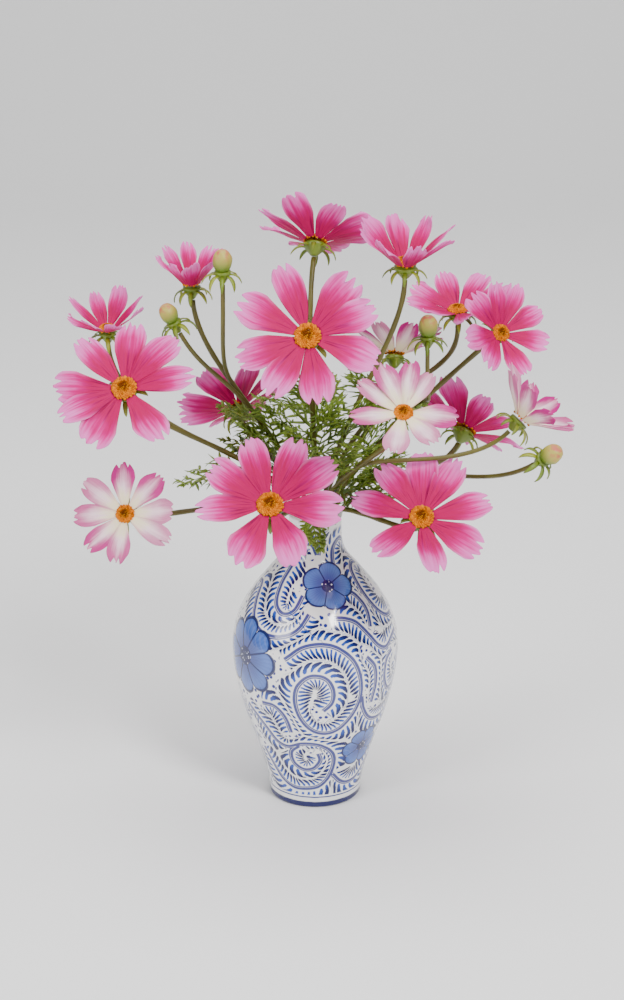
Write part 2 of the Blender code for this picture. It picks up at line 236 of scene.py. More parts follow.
def vase_surface():
    """The outline's points, and grids of points and normals round the outer wall from the lip down."""
    line = smooth_line(np.array([(r, z) for z, r in VASE_OUTLINE]), VASE_STEP)
    turn = np.linspace(0, 2 * math.pi, VASE_ROUND, endpoint=False)
    radius, height = line[:, :1], line[:, 1:]
    points = np.stack([radius * np.sin(turn), -radius * np.cos(turn), height + 0 * turn], -1)
    slope = np.gradient(line, axis=0)
    slope /= np.linalg.norm(slope, axis=1)[:, None]
    normal = np.stack(
        [-slope[:, 1:] * np.sin(turn), slope[:, 1:] * np.cos(turn), slope[:, :1] + 0 * turn], -1
    )
    return line, points, normal


def on_wall(line, turn, height):
    """The wall's point at a turn in degrees and a height."""
    radius = np.interp(height, line[::-1, 1], line[::-1, 0])
    a = np.radians(turn)
    return np.stack([radius * np.sin(a), -radius * np.cos(a), height], -1)


def brush_fields(line, points, normals):
    """For each wall point, two vectors. Flow: signed distance to the nearest brushed stem, place along it,
    and plain distance. Room: how far dabs can reach towards the next stem, the length left to the stem's
    ends, and the stem's number."""
    samples, ways, places, ends, owners = [], [], [], [], []
    for copy in range(SIDES):
        for number, scroll in enumerate(SCROLLS):
            flat = np.array(scroll, dtype=float)
            rough = np.column_stack([np.radians(flat[:, 0]) * MEAN_RADIUS, flat[:, 1]])
            flat = smooth_line(rough, 0.5)
            turn = np.degrees(flat[:, 0] / MEAN_RADIUS) + 180.0 * copy
            path = on_wall(line, turn, np.clip(flat[:, 1], 3, 162))
            way = np.gradient(path, axis=0)
            along = np.r_[0, np.cumsum(np.linalg.norm(np.diff(path, axis=0), axis=1))]
            samples.append(path)
            ways.append(way / np.linalg.norm(way, axis=1)[:, None])
            places.append(along)
            ends.append(np.full(len(path), along[-1]))
            owners.append(np.full(len(path), number + 100 * copy))
    samples, ways = np.vstack(samples), np.vstack(ways)
    places, ends, owners = np.concatenate(places), np.concatenate(ends), np.concatenate(owners)
    flow = np.zeros((len(points), 3), dtype=np.float32)
    room = np.zeros((len(points), 3), dtype=np.float32)
    own_length, batch = 14.0, 4000
    for first in range(0, len(points), batch):
        some = slice(first, first + batch)
        part = points[some]
        gap = (part**2).sum(1)[:, None] + (samples**2).sum(1)[None] - 2 * part @ samples.T
        near = gap.argmin(1)
        away = part - samples[near]
        way = ways[near]
        shift = (away * way).sum(1)
        side = np.cross(way, normals[some])
        signed = (away * side).sum(1)
        plain = np.sqrt(np.maximum(gap[np.arange(len(part)), near], 0))
        same = owners[None] == owners[near][:, None]
        same &= np.abs(places[None] - places[near][:, None]) < own_length
        other = np.sqrt(np.maximum(np.where(same, 1e6, gap).min(1), 0))
        along = places[near] + shift
        flow[some] = np.column_stack([signed, along, plain])
        left = np.minimum(along, ends[near] - along)
        room[some] = np.column_stack([(plain + other) / 2, left, owners[near] % 7])
    return flow, room


def flower_fields(line, points):
    """For each wall point: place across and up from the nearest painted flower's middle, as shares of its
    radius, and its number of petals."""
    made = np.full((len(points), 3), 9.0, dtype=np.float32)
    best = np.full(len(points), 1e9)
    for copy in range(SIDES):
        for turn, height, radius, petals in PAINTED_FLOWERS:
            middle = on_wall(line, turn + 180.0 * copy, np.float64(height))
            above = on_wall(line, turn + 180.0 * copy, np.float64(height + 4.0))
            upward = (above - middle) / np.linalg.norm(above - middle)
            a = math.radians(turn + 180.0 * copy)
            across = np.array([math.cos(a), math.sin(a), 0.0])
            away = points - middle
            far = np.linalg.norm(away, axis=1) / radius
            nearer = far < best
            best[nearer] = far[nearer]
            found = np.column_stack([away @ across / radius, away @ upward / radius, 0 * far + petals])
            made[nearer] = found[nearer]
    return made


def glaze_material():
    made, shader, start = new_material("glaze", 0.14, coat=0.3)
    signed, along, plain = attribute(start, "flow").parts()
    room, left, owner = attribute(start, "room").parts()
    across, upward, petals = attribute(start, "flower").parts()
    place = place_coordinate(start)
    height = place.parts()[2] * 1000.0
    wobble = place.noise(260.0, 2.0) - 0.5

    # Painted flowers: scalloped petals with dark outlines, paler towards their rims, round a dark eye.
    reach = (across * across + upward * upward).math("SQRT")
    turn = upward.math("ARCTAN2", across)
    wave = (turn * petals * 0.5).math("COSINE")
    rim = wave.math("ABSOLUTE").math("POWER", 0.42) * 0.30 + 0.70 + wobble * 0.06
    inside = (rim - reach).step(-0.01, 0.01)
    seam = (reach * wave * 2.0 / petals).math("ABSOLUTE").step(0.035, 0.015)
    edge = (rim - reach).math("ABSOLUTE").step(0.055, 0.03)
    ink = seam.math("MAXIMUM", edge) * (rim - reach).step(-0.05, -0.03)
    veins = (turn * 46.0 + wobble * 9.0).math("SINE") * 0.5 + 0.5
    tint = (reach / rim).step(0.95, 0.25) * 0.72 + veins * 0.16 + (reach / rim).step(0.80, 1.0) * 0.25
    eye = reach.step(0.27, 0.24)
    seeds = place.cells(620.0).step(0.34, 0.24)

    # Stems: one thick and one thin line side by side, only where their own length runs.
    runs = left.step(-0.3, 0.3) * plain.step(2.2, 1.8)
    thick = (signed + wobble * 0.3).math("ABSOLUTE").step(0.95, 0.70)
    thin = (signed - 1.35 + wobble * 0.3).math("ABSOLUTE").step(0.50, 0.24)
    lines = thick.math("MAXIMUM", thin) * runs

    # Dabs: comma strokes in rows on both sides, pale and thin at the stem, dark and round at the far end.
    depth = signed.math("ABSOLUTE")
    longest = room * 0.96 - 0.3
    reach_of = longest.math("MINIMUM", 9.5)
    share = (depth - 1.9) / (reach_of - 1.9)
    side = signed.math("SIGN")
    pitch = 3.1
    lean = share.math("POWER", 1.7) * reach_of * 0.42
    row = (along - lean + side * 0.7 + wobble * 1.6 + owner * 0.3) / pitch
    local = (row - row.math("FLOOR") - 0.5) * pitch
    bulge = (1.0 - ((share - 0.74) / 0.26).math("MAXIMUM", 0.0).math("POWER", 2.0)).math("MAXIMUM", 0.0)
    girth = (share * 0.95 + 0.55) * bulge.math("SQRT")
    dab = (girth - local.math("ABSOLUTE")).step(-0.08, 0.12)
    dab = dab * share.step(0.0, 0.06) * share.step(1.0, 0.98) * left.step(-0.5, 0.5)
    dab = dab * (plain - reach_of).step(0.6, 0.2) * reach_of.step(2.3, 2.5) * plain.step(12.0, 11.0)
    dab_ink = share.step(0.12, 0.85)

    # Dots: small round touches where the dabs leave the glaze bare.
    specks = place.cells(330.0).step(0.40, 0.30)
    bare = (plain - reach_of).step(0.4, 0.8).math("MAXIMUM", left.step(-0.8, -1.2) * plain.step(2.4, 2.8))
    dots = specks * bare * (reach - rim).step(0.03, 0.05)

    # Bands: a dark foot, a thin line above it, and a bare collar under the lip.
    foot = (height + wobble * 0.5).step(3.8, 3.4)
    ring = (height - 6.6 + wobble * 0.3).math("ABSOLUTE").step(0.50, 0.30)
    field = height.step(7.6, 8.4) * height.step(159.0, 156.5)

    clay = (place.noise(30.0) * 0.5).blend((0.90, 0.89, 0.87), (0.84, 0.85, 0.88))
    pale, mid, navy = (0.015, 0.075, 0.45), (0.0, 0.010, 0.20), (0.0, 0.003, 0.085)
    stroke = dab_ink.blend(pale, navy)
    colour = (dots * field).blend(clay, mid)
    colour = (dab * field).blend(colour, stroke)
    colour = (lines * field * 0.94).blend(colour, mid)
    washed = tint.blend((0.07, 0.17, 0.56), (0.001, 0.012, 0.20))
    colour = (inside * 0.96).blend(colour, washed)
    colour = (eye * inside).blend(colour, seeds.blend(navy, (0.75, 0.78, 0.88)))
    colour = (ink * 0.95).blend(colour, (0.003, 0.008, 0.08))
    colour = ring.blend(colour, mid)
    colour = foot.blend(colour, navy)
    colour_with(shader, colour)
    return made


def make_vase():
    line, points, normals = vase_surface()
    rows = len(line)
    wall = points.reshape(-1, 3)
    flow, room = brush_fields(line, wall, normals.reshape(-1, 3))
    flower = flower_fields(line, wall)
    # The inside follows the wall by its thickness, and the floor and the foot close it.
    inner_line = line[(line[:, 1] > 12) & (line[:, 1] < 162)][::6] - np.array([WALL, 0.0])
    lip = np.vstack([line[:1] - [0.6, -0.35], line[:1] - [1.5, -0.2]])
    profile = np.vstack([lip, inner_line, [[19.5, VASE_FLOOR], [8.0, VASE_FLOOR]]])
    turn = np.linspace(0, 2 * math.pi, VASE_ROUND, endpoint=False)
    inner = np.stack(
        [profile[:, :1] * np.sin(turn), -profile[:, :1] * np.cos(turn), profile[:, 1:] + 0 * turn], -1
    )
    under = np.array([[24.4, 0.0], [12.0, 0.0]])
    below = np.stack(
        [under[:, :1] * np.sin(turn), -under[:, :1] * np.cos(turn), under[:, 1:] + 0 * turn], -1
    )
    sheet = np.vstack([inner[::-1].reshape(-1, 3), wall, below.reshape(-1, 3)])
    count = len(profile) + rows + len(under)
    faces = grid_faces(count, VASE_ROUND, closed=True)[:, ::-1].tolist()
    faces += [list(range(VASE_ROUND))]
    faces += [list(range((count - 1) * VASE_ROUND, count * VASE_ROUND))[::-1]]
    inside, base = len(profile) * VASE_ROUND, len(under) * VASE_ROUND

    def whole(data):
        """The painting's values on the wall, and none inside and under the vase."""
        return np.vstack([np.full((inside, 3), 99.0), data, np.full((base, 3), 99.0)])

    values = {"flow": whole(flow), "room": whole(room), "flower": whole(flower)}
    add_piece("vase_glazed", sheet, faces, glaze_material(), ("vase",), values)


make_vase()


# Heads.
# Each bloom's and bud's place comes from its solid in the frame. The disc's flat back and dome give the
# middle and the way the bloom faces, and the petals' solid gives its radius.
def node_points(node):
    obj = bpy.data.objects[node]
    data = np.zeros(len(obj.data.vertices) * 3, dtype=np.float32)
    obj.data.vertices.foreach_get("co", data)
    return np.unique(np.round(data.reshape(-1, 3) / MM, 3), axis=0)


def bloom_place(name):
    """Middle, axis and radius of a bloom, in millimetres."""
    dome = node_points(f"disc_{name}")
    centre = dome.mean(0)
    axis = np.linalg.svd(dome - centre)[2][2]
    off = np.linalg.norm((dome - centre) - np.outer((dome - centre) @ axis, axis), axis=1)
    rim = dome[off > 0.97 * off.max()]
    if (centre - rim.mean(0)) @ axis < 0:
        axis = -axis
    middle = rim.mean(0) - 0.3 * axis
    petals = node_points(f"petals_{name}") - middle
    radius = np.linalg.norm(petals - np.outer(petals @ axis, axis), axis=1).max()
    return middle, axis, radius, off.max()


def head_turn(axis):
    """The head's own frame as columns: across, up and out."""
    across = np.array([1.0, 0, 0]) - axis[0] * axis
    across /= np.linalg.norm(across)
    return np.column_stack([across, np.cross(axis, across), axis])


# Petals.
# Eight broad petals on each bloom, thin and silky, with notches in the tip and fine pleats along them.
# Pink ones are deep rose at the base and streak out to pale tips. Picotee ones are white with magenta edges.
EVEN = tuple(range(0, 360, 45))
# Per bloom: rise at the base and at the tip in degrees, and the turns of the petals.
PETAL_SETS = {
    "front_high": ((12, 2), (20, 54, 108, 155, 202, 240, 281, 338)),
    "left": ((12, 0), (8, 46, 84, 132, 184, 209, 243, 303)),
    "front_low": ((12, 4), (-9, 33, 66, 109, 148, 189, 246, 295)),
    "right_low": ((16, 6), (11, 56, 89, 125, 167, 226, 280, 325)),
    "right_high": ((24, 10), (-12, 34, 76, 105, 142, 202, 240, 289)),
    "top": ((24, 14), tuple(a + 18 for a in EVEN)),
    "top_right": ((42, 46), tuple(a + 12 for a in EVEN)),
    "left_high": ((54, 48), tuple(a + 5 for a in EVEN)),
    "far_left": ((30, 46), tuple(a + 22 for a in EVEN)),
    "back_right": ((20, 26), tuple(a + 12 for a in EVEN)),
    "back_pale": ((30, 22), tuple(a + 20 for a in EVEN)),
    "middle_pale": ((18, 6), (-8, 54, 83, 114, 149, 196, 258, 306)),
    "left_low_pale": ((10, 0), (1, 46, 94, 142, 182, 226, 262, 326)),
    "right_back": ((26, 16), tuple(a + 14 for a in EVEN)),
    "far_right_pale": ((42, 34), tuple(a + 16 for a in EVEN)),
    "left_back": ((22, 14), tuple(a + 20 for a in EVEN)),
}
PETAL_ROWS = 34
PETAL_COLUMNS = 27
PETAL_THICKNESS = 0.28


def add_bump(shader, start, height, strength, distance):
    made = start.node("ShaderNodeBump", None)
    bump = made.socket.node
    bump.inputs["Strength"].default_value = strength
    bump.inputs["Distance"].default_value = distance
    start.tree.links.new(height.socket, bump.inputs["Height"])
    start.tree.links.new(bump.outputs["Normal"], shader.inputs["Normal"])


def petal_material(name, pale):
    made, shader, start = new_material(name, 0.55)
    shader.inputs["Subsurface Weight"].default_value = 0.15
    shader.inputs["Subsurface Radius"].default_value = (1.0, 0.45, 0.55)
    shader.inputs["Subsurface Scale"].default_value = 0.0012
    shader.inputs["Specular IOR Level"].default_value = 0.1
    side, length, _ = place_coordinate(start, "UV").parts()
    chance = attribute(start, "petal", "Fac")
    streak = side.vector(side * 13.0, length * 1.1, chance * 40.0).noise(1.0, 3.0)
    fine = side.vector(side * 46.0, length * 1.8, chance * 40.0).noise(1.0, 2.0)
    cloud = side.vector(side * 2.0, length * 2.5, chance * 17.0).noise(1.0, 2.0)
    rim = ((side - 0.5) * 2.0).math("ABSOLUTE")
    if pale:
        shift = length + (streak - 0.5) * 0.5 + (cloud - 0.5) * 0.5
        edge = (rim * 0.54 + shift * 0.80).step(0.36, 0.98)
        colour = shift.step(0.05, 0.55).blend((0.88, 0.76, 0.52), (0.90, 0.66, 0.73))
        colour = (edge * (chance * 0.35 + 0.65)).blend(colour, (0.46, 0.004, 0.20))
        colour = ((fine - 0.5).math("MAXIMUM", 0.0) * edge * 1.2).blend(colour, (0.28, 0.005, 0.09))
    else:
        shift = length + (streak - 0.5) * 0.75 + (cloud - 0.5) * 0.35 + (chance - 0.5) * 0.10
        colour = shift.step(0.30, 0.70).blend((0.42, 0.0, 0.085), (0.60, 0.0, 0.21))
        colour = shift.step(0.52, 1.0).blend(colour, (0.78, 0.17, 0.52))
        dark = streak.step(0.53, 0.66) * length.step(0.72, 0.20) * length.step(0.02, 0.12)
        colour = (dark * 0.85).blend(colour, (0.15, 0.0, 0.04))
        colour = (fine.step(0.52, 0.72) * length.step(0.98, 0.3) * 0.55).blend(colour, (0.34, 0.0, 0.10))
        colour = (rim.step(0.75, 1.0) * length.step(0.3, 0.8) * 0.45).blend(colour, (0.82, 0.34, 0.66))
    colour_with(shader, colour)
    add_bump(shader, start, fine * 0.5 + streak, 0.5, 0.0004)
    return made


def petal_sheet(radius, hub, rise, chance):
    """One petal as a grid of points that grows along +X from the hub."""
    s = np.linspace(0, 1, PETAL_ROWS)[:, None]
    t = np.linspace(-1, 1, PETAL_COLUMNS)[None]
    low, high = (math.radians(a + chance.uniform(-5, 5)) for a in rise)
    curl = chance.uniform(-16, 22)
    angles = low + (high - low) * s[:, 0] + np.radians(curl) * np.maximum(0, s[:, 0] - 0.6) ** 1.5 * 2.2
    span = (radius - hub) / max(math.cos((low + high) / 2), 0.72) * chance.uniform(0.93, 1.03)
    step = span / (PETAL_ROWS - 1)
    mid_x = hub - 1.2 + np.r_[0, np.cumsum(np.cos(angles[1:]) * step)]
    mid_z = 0.15 + np.r_[0, np.cumsum(np.sin(angles[1:]) * step)]
    tip = 1 - 0.13 * np.abs(t) ** 2.4 - 0.05 * np.abs(t) ** 9
    notches = ((-0.40, 0.17), (0.36, 0.17), (0.02, 0.10))
    for middle, deep in notches:
        middle += chance.uniform(-0.14, 0.14)
        deep *= chance.uniform(0.25, 1.25)
        tip = tip - deep * np.maximum(0, 1 - np.abs(t - middle) / chance.uniform(0.14, 0.30))
    along = s - s**5 * (1 - tip)
    broad = chance.uniform(0.180, 0.245) * radius
    half = broad * np.sin(np.pi * (0.07 + 0.64 * s**0.95)) ** 0.92
    half = np.minimum(half, 0.36 * mid_x[:, None] + 0.1)
    x = np.interp(along, s[:, 0], mid_x)
    z = np.interp(along, s[:, 0], mid_z)
    tilt = np.interp(along, s[:, 0], angles)
    trough = chance.uniform(0.02, 0.20)
    twist = math.radians(chance.uniform(-30, 30))
    lift = half * (trough * t**2 * (1 - 0.5 * s)) + twist * half * t * s
    lift = lift + 0.020 * half * np.cos(t * 9.5 + chance.uniform(-1, 1)) * np.sin(np.pi * s) ** 0.6
    ripple = chance.uniform(0.02, 0.07) * radius
    roll = np.sin(6.0 * s + 2.4 * np.sign(t) + chance.uniform(0, 6))
    lift = lift + ripple * s**2.2 * np.abs(t) ** 1.5 * roll
    sway = radius * chance.uniform(-0.05, 0.05) * s**2
    return np.stack([x - lift * np.sin(tilt), half * t + sway, z + lift * np.cos(tilt)], -1)


def make_petals(number, name, place, material):
    middle, axis, radius, disc = place
    rise, turns = PETAL_SETS[name]
    chance = np.random.default_rng(100 + number)
    order = [0, 2, 4, 6, 1, 3, 5, 7]
    points, faces, uv, values = [], [], [], []
    grid = grid_faces(PETAL_ROWS, PETAL_COLUMNS)
    s, t = np.meshgrid(np.linspace(0, 1, PETAL_ROWS), np.linspace(0, 1, PETAL_COLUMNS), indexing="ij")
    for rank, k in enumerate(order):
        sheet = petal_sheet(radius * 0.985, disc, rise, chance).reshape(-1, 3)
        sheet[:, 2] += 0.35 * (rank > 3) + 0.02 * k
        a = math.radians(turns[k])
        spin = np.array([[math.cos(a), -math.sin(a), 0], [math.sin(a), math.cos(a), 0], [0, 0, 1]])
        faces.append(grid + sum(len(p) for p in points))
        points.append(sheet @ spin.T @ head_turn(axis).T + middle)
        uv.append(np.column_stack([t.ravel(), s.ravel()]))
        values.append(np.full(len(sheet), chance.uniform(0, 1)))
    obj = add_piece(
        f"bloom_petals_{name}", np.vstack(points), np.vstack(faces).tolist(), material,
        (f"petals_{name}",),
        {"petal": np.concatenate(values)},
    )
    corner = np.zeros(len(obj.data.loops), dtype=np.int32)
    obj.data.loops.foreach_get("vertex_index", corner)
    surface = obj.data.uv_layers.new(name="Surface")
    surface.data.foreach_set("uv", np.vstack(uv)[corner].astype(np.float32).ravel())
    solid = obj.modifiers.new("thickness", "SOLIDIFY")
    solid.thickness = PETAL_THICKNESS * MM
    solid.offset = 0


pink = petal_material("petal_pink", False)
picotee = petal_material("petal_picotee", True)
BLOOM_PLACES = {name: bloom_place(name) for name in PETAL_SETS}
for number, (name, place) in enumerate(BLOOM_PLACES.items()):
    make_petals(number, name, place, picotee if name.endswith("pale") else pink)


# Disc florets.
# The button in the middle of each bloom is packed with small golden florets in spirals.
# The outer ones stand open, round and bright. The inner ones are smaller and darker.
def floret_material():
    made, shader, start = new_material("disc_florets", 0.85)
    shader.inputs["Specular IOR Level"].default_value = 0.1
    out = attribute(start, "outward", "Fac")
    chance = attribute(start, "chance", "Fac")
    colour = out.step(0.25, 0.75).blend((0.16, 0.035, 0.0), (0.62, 0.17, 0.0))
    colour = (chance.step(0.45, 1.0) * 0.55).blend(colour, (0.82, 0.30, 0.0))
    colour = (chance.step(0.22, 0.0) * 0.6).blend(colour, (0.20, 0.04, 0.0))
    colour_with(shader, colour)
    return made


def floret_group(material):
    """Small round florets in a sunflower spiral over a low dome."""
    tree = bpy.data.node_groups.new("florets", "GeometryNodeTree")
    tree.interface.new_socket("Geometry", in_out="INPUT", socket_type="NodeSocketGeometry")
    for label, value in (("Radius", 0.0075), ("Height", 0.0035), ("Count", 150.0), ("Floret Size", 0.0006)):
        tree.interface.new_socket(label, in_out="INPUT", socket_type="NodeSocketFloat").default_value = value
    tree.interface.new_socket("Geometry", in_out="OUTPUT", socket_type="NodeSocketGeometry")
    link = tree.links.new
    given = tree.nodes.new("NodeGroupInput").outputs

    def math_node(operation, *inputs):
        made = tree.nodes.new("ShaderNodeMath")
        made.operation = operation
        for slot, value in zip(made.inputs, inputs):
            if isinstance(value, (int, float)):
                slot.default_value = value
            else:
                link(value, slot)
        return made.outputs[0]

    index = tree.nodes.new("GeometryNodeInputIndex").outputs[0]
    share = math_node("SQRT", math_node("DIVIDE", math_node("ADD", index, 0.5), given["Count"]))
    turn = math_node("MULTIPLY", index, math.radians(137.508))
    reach = math_node("MULTIPLY", share, given["Radius"])
    dome = math_node("SQRT", math_node("SUBTRACT", 1.02, math_node("MULTIPLY", share, share)))
    place = tree.nodes.new("ShaderNodeCombineXYZ")
    link(math_node("MULTIPLY", reach, math_node("COSINE", turn)), place.inputs[0])
    link(math_node("MULTIPLY", reach, math_node("SINE", turn)), place.inputs[1])
    link(math_node("MULTIPLY", dome, given["Height"]), place.inputs[2])
    dots = tree.nodes.new("GeometryNodePoints")
    link(given["Count"], dots.inputs["Count"])
    link(place.outputs[0], dots.inputs["Position"])
    ball = tree.nodes.new("GeometryNodeMeshIcoSphere")
    ball.inputs["Subdivisions"].default_value = 2
    ball.inputs["Radius"].default_value = 1.0
    size = tree.nodes.new("FunctionNodeRandomValue")
    size.inputs[2].default_value = 0.72
    size.inputs[3].default_value = 1.15
    size.inputs["Seed"].default_value = 5
    swell = math_node("ADD", 0.62, math_node("MULTIPLY", share, 0.5))
    scale = math_node("MULTIPLY", math_node("MULTIPLY", size.outputs[1], swell), given["Floret Size"])
    shape = tree.nodes.new("ShaderNodeCombineXYZ")
    link(scale, shape.inputs[0])
    link(scale, shape.inputs[1])
    link(math_node("MULTIPLY", scale, 1.35), shape.inputs[2])
    spread = tree.nodes.new("GeometryNodeInstanceOnPoints")
    link(dots.outputs[0], spread.inputs["Points"])
    link(ball.outputs["Mesh"], spread.inputs["Instance"])
    link(shape.outputs[0], spread.inputs["Scale"])
    tint = tree.nodes.new("FunctionNodeRandomValue")
    tint.inputs["Seed"].default_value = 9
    stored = spread.outputs[0]
    for label, value in (("outward", share), ("chance", tint.outputs[1])):
        store = tree.nodes.new("GeometryNodeStoreNamedAttribute")
        store.domain = "INSTANCE"
        store.inputs["Name"].default_value = label
        link(stored, store.inputs["Geometry"])
        link(value, store.inputs["Value"])
        stored = store.outputs[0]
    real = tree.nodes.new("GeometryNodeRealizeInstances")
    link(stored, real.inputs[0])
    paint = tree.nodes.new("GeometryNodeSetMaterial")
    paint.inputs["Material"].default_value = material
    link(real.outputs[0], paint.inputs["Geometry"])
    link(paint.outputs[0], tree.nodes.new("NodeGroupOutput").inputs[0])
    return tree


def make_disc(name, place, tree):
    middle, axis, _, disc = place
    holder = bpy.data.objects.new("floret_holder", bpy.data.meshes.new("floret_holder"))
    bpy.context.scene.collection.objects.link(holder)
    grow = holder.modifiers.new("florets", "NODES")
    grow.node_group = tree
    keys = {item.name: item.identifier for item in tree.interface.items_tree if item.in_out == "INPUT"}
    grow[keys["Radius"]] = disc * 0.87 * MM
    grow[keys["Height"]] = disc * 0.50 * MM
    grow[keys["Count"]] = float(int(90 + 9 * disc))
    grow[keys["Floret Size"]] = disc * 0.092 * MM
    bpy.context.view_layer.update()
    mesh = bpy.data.meshes.new_from_object(holder.evaluated_get(bpy.context.evaluated_depsgraph_get()))
    bpy.data.objects.remove(holder)
    mesh.transform(Matrix.Translation(Vector(middle) * MM) @ Matrix(head_turn(axis)).to_4x4())
    set_piece(f"florets_{name}", mesh, (f"disc_{name}",))


florets = floret_group(floret_material())
for name, place in BLOOM_PLACES.items():
    make_disc(name, place, florets)


# Stems.
# Slender olive stems, faintly ribbed, stand on the vase's floor, lean in its neck and fan out to their heads.
# Each head has a green calyx cup with eight narrow bracts that arch out and down.
# Per stem: kind of head, place in the mouth, how far the curve leads out and follows in, and its branches.
STEMS = {
    "front_high": ("bloom", (0.4, -2.6), 60, 34, ()),
    "left": ("bloom", (-7.0, -2.4), 40, 30, ((0.50, "bloom", "far_left", 26, 30),)),
    "front_low": ("bloom", (-1.6, -9.0), 22, 18, ()),
    "right_low": ("bloom", (5.6, -7.6), 20, 22, ()),
    "right_high": ("bloom", (6.6, -3.4), 34, 18, ((0.52, "bud", "middle", 14, 40),)),
    "top": ("bloom", (-0.6, 1.4), 60, 40, ()),
    "top_right": ("bloom", (3.6, 0.6), 60, 34, ()),
    "left_high": (
        "bloom", (-4.2, 0.8), 46, 36, ((0.42, "bud", "left", 30, 26), (0.58, "bud", "left_high", 14, 36)),
    ),
    "back_right": ("bloom", (7.4, 4.2), 84, 36, ()),
    "back_pale": ("bloom", (4.6, 6.6), 44, 24, ()),
    "middle_pale": ("bloom", (3.0, -6.0), 34, 26, ((0.44, "bloom", "far_right_pale", 26, 30),)),
    "left_low_pale": ("bloom", (-6.4, -6.6), 24, 30, ()),
    "right_back": ("bloom", (9.3, -0.6), 30, 26, ((0.40, "bud", "right", 30, 36),)),
    "left_back": ("bloom", (-7.6, 2.6), 36, 22, ()),
}
MOUTH_HEIGHT = 166.0
STEM_RADIUS = 1.35
BRANCH_RADIUS = 1.15
CALYX_DEPTH = 8.0


def bud_place(name):
    """A bud's foot, axis, radius and half length."""
    egg = node_points(f"bud_{name}")
    centre = egg.mean(0)
    axis = np.linalg.svd(egg - centre)[2][0]
    if axis[2] < 0:
        axis = -axis
    long = ((egg - centre) @ axis).max()
    radius = np.linalg.norm((egg - centre) - np.outer((egg - centre) @ axis, axis), axis=1).max()
    return centre - axis * radius, axis, radius, long


BUD_PLACES = {name: bud_place(name) for name in ("left_high", "left", "middle", "right")}


def head_of(kind, name):
    """Place, axis, calyx radius, and the depth of the calyx's rim below the place."""
    if kind == "bloom":
        middle, axis, _, disc = BLOOM_PLACES[name]
        return middle, axis, 0.92 * (disc + 0.5), 0.9
    foot, axis, radius, _ = BUD_PLACES[name]
    return foot, axis, 0.90 * radius, -0.3


def bezier(ends, t):
    a, b, c, d = ends
    t = np.asarray(t, dtype=float)[..., None]
    return (1 - t) ** 3 * a + 3 * (1 - t) ** 2 * t * b + 3 * (1 - t) * t**2 * c + t**3 * d


def bezier_slope(ends, t):
    way = bezier(ends, t + 1e-3) - bezier(ends, t - 1e-3)
    return way / np.linalg.norm(way)


def tube(path, radii, sides=14, ribs=0.05):
    """A closed tube along the path, with faint ribs."""
    path = np.asarray(path)
    way = np.gradient(path, axis=0)
    way /= np.linalg.norm(way, axis=1)[:, None]
    across = np.cross(way[0], [0.3, 1.0, 0.2])
    rings = []
    turn = np.linspace(0, 2 * math.pi, sides, endpoint=False)
    shape = 1 + ribs * np.cos(turn * (sides // 2))
    for point, forward, radius in zip(path, way, radii):
        across = across - (across @ forward) * forward
        across /= np.linalg.norm(across)
        up = np.cross(forward, across)
        ring = np.cos(turn)[:, None] * across + np.sin(turn)[:, None] * up
        rings.append(point + radius * shape[:, None] * ring)
    points = np.vstack([*rings, path[:1], path[-1:]])
    rows = len(path)
    faces = grid_faces(rows, sides, closed=True).tolist()
    first, last = rows * sides, rows * sides + 1
    for j in range(sides):
        k = (j + 1) % sides
        faces.append([first, k, j])
        faces.append([last, (rows - 1) * sides + j, (rows - 1) * sides + k])
    return points, faces


def blade(path, widths, normal, thickness):
    """A narrow pointed blade along the path: a flat diamond in section, closed at both ends."""
    path = np.asarray(path)
    way = np.gradient(path, axis=0)
    way /= np.linalg.norm(way, axis=1)[:, None]
    across = np.cross(way, normal)
    across /= np.linalg.norm(across, axis=1)[:, None] + 1e-9
    up = np.cross(across, way)
    w = np.asarray(widths)[:, None]
    fold = 0.30 * w * up
    thin = thickness * np.minimum(1, w / 0.5) * up
    left, right = path - across * w + fold, path + across * w + fold
    rings = np.stack([left, path - thin / 2, right, path + thin / 2], 1)
    rows = len(path)
    faces = grid_faces(rows, 4, closed=True)[:, ::-1].tolist()
    faces += [[0, 1, 2, 3], [(rows - 1) * 4 + k for k in (3, 2, 1, 0)]]
    return rings.reshape(-1, 3), faces


class Bunch:
    """Closed shells gathered into one mesh."""

    def __init__(self):
        self.points = []
        self.faces = []
        self.values = []
        self.count = 0

    def add(self, shell, value):
        points, faces = shell
        self.faces += [[v + self.count for v in f] for f in faces]
        self.points.append(points)
        self.values.append(np.full(len(points), value))
        self.count += len(points)

    def piece(self, name, material, replaced=()):
        values = {"tone": np.concatenate(self.values)}
        add_piece(name, np.vstack(self.points), self.faces, material, replaced, values)


def stem_material():
    made, shader, start = new_material("stem", 0.42)
    tone = attribute(start, "tone", "Fac")
    place = place_coordinate(start)
    mottle = place.noise(90.0, 3.0)
    colour = mottle.blend((0.060, 0.050, 0.004), (0.145, 0.13, 0.012))
    green = mottle.blend((0.065, 0.11, 0.005), (0.20, 0.27, 0.014))
    colour = tone.step(0.1, 0.6).blend(colour, green)
    colour = (tone.step(0.7, 1.0) * 0.6).blend(colour, (0.36, 0.38, 0.02))
    colour_with(shader, colour)
    return made


